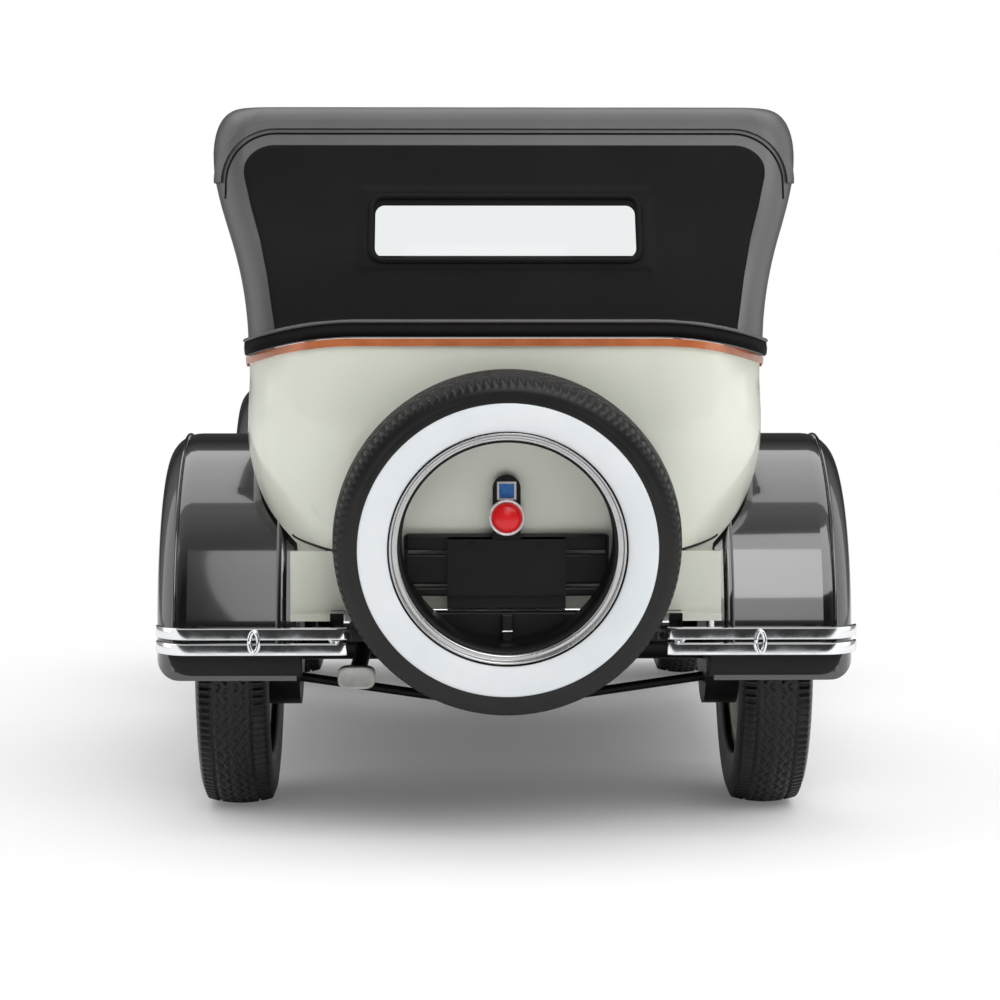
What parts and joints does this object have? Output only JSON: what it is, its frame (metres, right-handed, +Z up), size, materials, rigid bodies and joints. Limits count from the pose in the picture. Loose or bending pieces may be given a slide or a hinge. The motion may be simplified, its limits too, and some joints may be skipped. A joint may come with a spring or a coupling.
{
  "type": "scale model touring car",
  "caption": "Open four-door touring car of the 1920s as a die-cast scale model: steerable front wheels, rolling wheels, opening doors and bonnet, fixed soft top, rear-mounted spare.",
  "frame": {"origin": "on the ground under the middle of the car", "axes": "+Z up, the car faces -Y, +X to the car's own left"},
  "size_m": [0.1012, 0.2535, 0.104],
  "materials": {
    "black_paint": "gloss enamel",
    "black_plastic": "satin moulded",
    "silver_paint": "flat silver paint",
    "board_plastic": "ribbed, satin",
    "cream_paint": "gloss enamel",
    "copper_paint": "gloss enamel",
    "chrome_plating": "bright plating",
    "clear_plastic": "clear, polished",
    "seat_vinyl": "soft sheen",
    "wood_brown": "varnished",
    "top_plastic": "satin, fine grain",
    "tyre_rubber": "rubber with a white sidewall",
    "red_plastic": "translucent red",
    "spoke_paint": "gloss enamel"
  },
  "bodies": {
    "car": {"chassis_frame": "black_paint", "leaf_springs": "black_plastic", "rear_axle": "black_plastic", "front_axle": "black_plastic", "engine_block": "black_plastic", "exhaust": "silver_paint", "front_fenders": "black_paint", "rear_fenders": "black_paint", "splash_aprons": "black_paint", "running_boards": "board_plastic", "body_cowl": "cream_paint", "body_sides": "cream_paint", "body_tonneau": "cream_paint", "belt_bead": "copper_paint", "bonnet_sills": "cream_paint", "radiator_shell": "chrome_plating", "radiator_core": "black_plastic", "headlamps": "chrome_plating", "headlamp_lenses": "clear_plastic", "front_bumper": "chrome_plating", "floor": "black_plastic", "front_seat": "seat_vinyl", "rear_seat": "seat_vinyl", "dashboard": "wood_brown", "steering_column": "black_plastic", "levers": "chrome_plating", "windscreen_frame": "chrome_plating", "windscreen_glass": "clear_plastic", "top_canopy": "top_plastic", "top_bows": "wood_brown", "spare_tyre": "tyre_rubber", "spare_rim": "chrome_plating", "spare_carrier": "black_plastic", "number_plate": "black_plastic", "tail_lamp": "black_plastic", "tail_lens": "red_plastic", "rear_bumperettes": "chrome_plating"},
    "door_front_left_body": {"door_front_left": "cream_paint"},
    "door_front_right_body": {"door_front_right": "cream_paint"},
    "door_rear_left_body": {"door_rear_left": "cream_paint"},
    "door_rear_right_body": {"door_rear_right": "cream_paint"},
    "bonnet_left_body": {"bonnet_left": "cream_paint"},
    "bonnet_right_body": {"bonnet_right": "cream_paint"},
    "knuckle_left_body": {"knuckle_left": "black_plastic"},
    "knuckle_right_body": {"knuckle_right": "black_plastic"},
    "tie_rod_body": {"tie_rod": "black_plastic"},
    "road_wheel_front_left": {"wheel_front_left": "spoke_paint", "tyre_front_left": "tyre_rubber"},
    "road_wheel_front_right": {"wheel_front_right": "spoke_paint", "tyre_front_right": "tyre_rubber"},
    "road_wheel_rear_left": {"wheel_rear_left": "spoke_paint", "tyre_rear_left": "tyre_rubber"},
    "road_wheel_rear_right": {"wheel_rear_right": "spoke_paint", "tyre_rear_right": "tyre_rubber"}
  },
  "joints": [
    {"name": "door_front_left_swing", "type": "hinge", "parent": "car", "child": "door_front_left_body", "pos_m": [0.0365, -0.01775, 0.05], "axis": [0, 0, -1], "range_deg": [0, 60]},
    {"name": "door_rear_left_swing", "type": "hinge", "parent": "car", "child": "door_rear_left_body", "pos_m": [0.0381, 0.05075, 0.05], "axis": [0, 0, 1], "range_deg": [0, 60]},
    {"name": "bonnet_left_lift", "type": "hinge", "parent": "car", "child": "bonnet_left_body", "pos_m": [0, -0.062, 0.0648], "axis": [0, -0.9993, -0.0387], "range_deg": [0, 55]},
    {"name": "steer_left", "type": "hinge", "parent": "car", "child": "knuckle_left_body", "pos_m": [0.033, -0.0858, 0.024], "axis": [0, 0, 1], "range_deg": [-22, 22]},
    {"name": "spin_front_left", "type": "hinge", "parent": "knuckle_left_body", "child": "road_wheel_front_left", "pos_m": [0.0395, -0.0858, 0.024], "axis": [1, 0, 0], "continuous": true},
    {"name": "spin_rear_left", "type": "hinge", "parent": "car", "child": "road_wheel_rear_left", "pos_m": [0.0395, 0.0752, 0.024], "axis": [1, 0, 0], "continuous": true},
    {"name": "door_front_right_swing", "type": "hinge", "parent": "car", "child": "door_front_right_body", "pos_m": [-0.0365, -0.01775, 0.05], "axis": [0, 0, 1], "range_deg": [0, 60]},
    {"name": "door_rear_right_swing", "type": "hinge", "parent": "car", "child": "door_rear_right_body", "pos_m": [-0.0381, 0.05075, 0.05], "axis": [0, 0, -1], "range_deg": [0, 60]},
    {"name": "bonnet_right_lift", "type": "hinge", "parent": "car", "child": "bonnet_right_body", "pos_m": [0, -0.062, 0.0648], "axis": [0, 0.9993, 0.0387], "range_deg": [0, 55]},
    {"name": "steer_right", "type": "hinge", "parent": "car", "child": "knuckle_right_body", "pos_m": [-0.033, -0.0858, 0.024], "axis": [0, 0, 1], "range_deg": [-22, 22]},
    {"name": "spin_front_right", "type": "hinge", "parent": "knuckle_right_body", "child": "road_wheel_front_right", "pos_m": [-0.0395, -0.0858, 0.024], "axis": [1, 0, 0], "continuous": true},
    {"name": "spin_rear_right", "type": "hinge", "parent": "car", "child": "road_wheel_rear_right", "pos_m": [-0.0395, 0.0752, 0.024], "axis": [1, 0, 0], "continuous": true},
    {"name": "tie_rod_turn", "type": "hinge", "parent": "knuckle_left_body", "child": "tie_rod_body", "pos_m": [0.033, -0.0748, 0.019], "axis": [0, 0, 1], "range_deg": [-22, 22]}
  ],
  "couplings": [
    {"joint": "steer_right", "follows": "steer_left", "ratio": 1},
    {"joint": "tie_rod_turn", "follows": "steer_left", "ratio": -1}
  ]
}
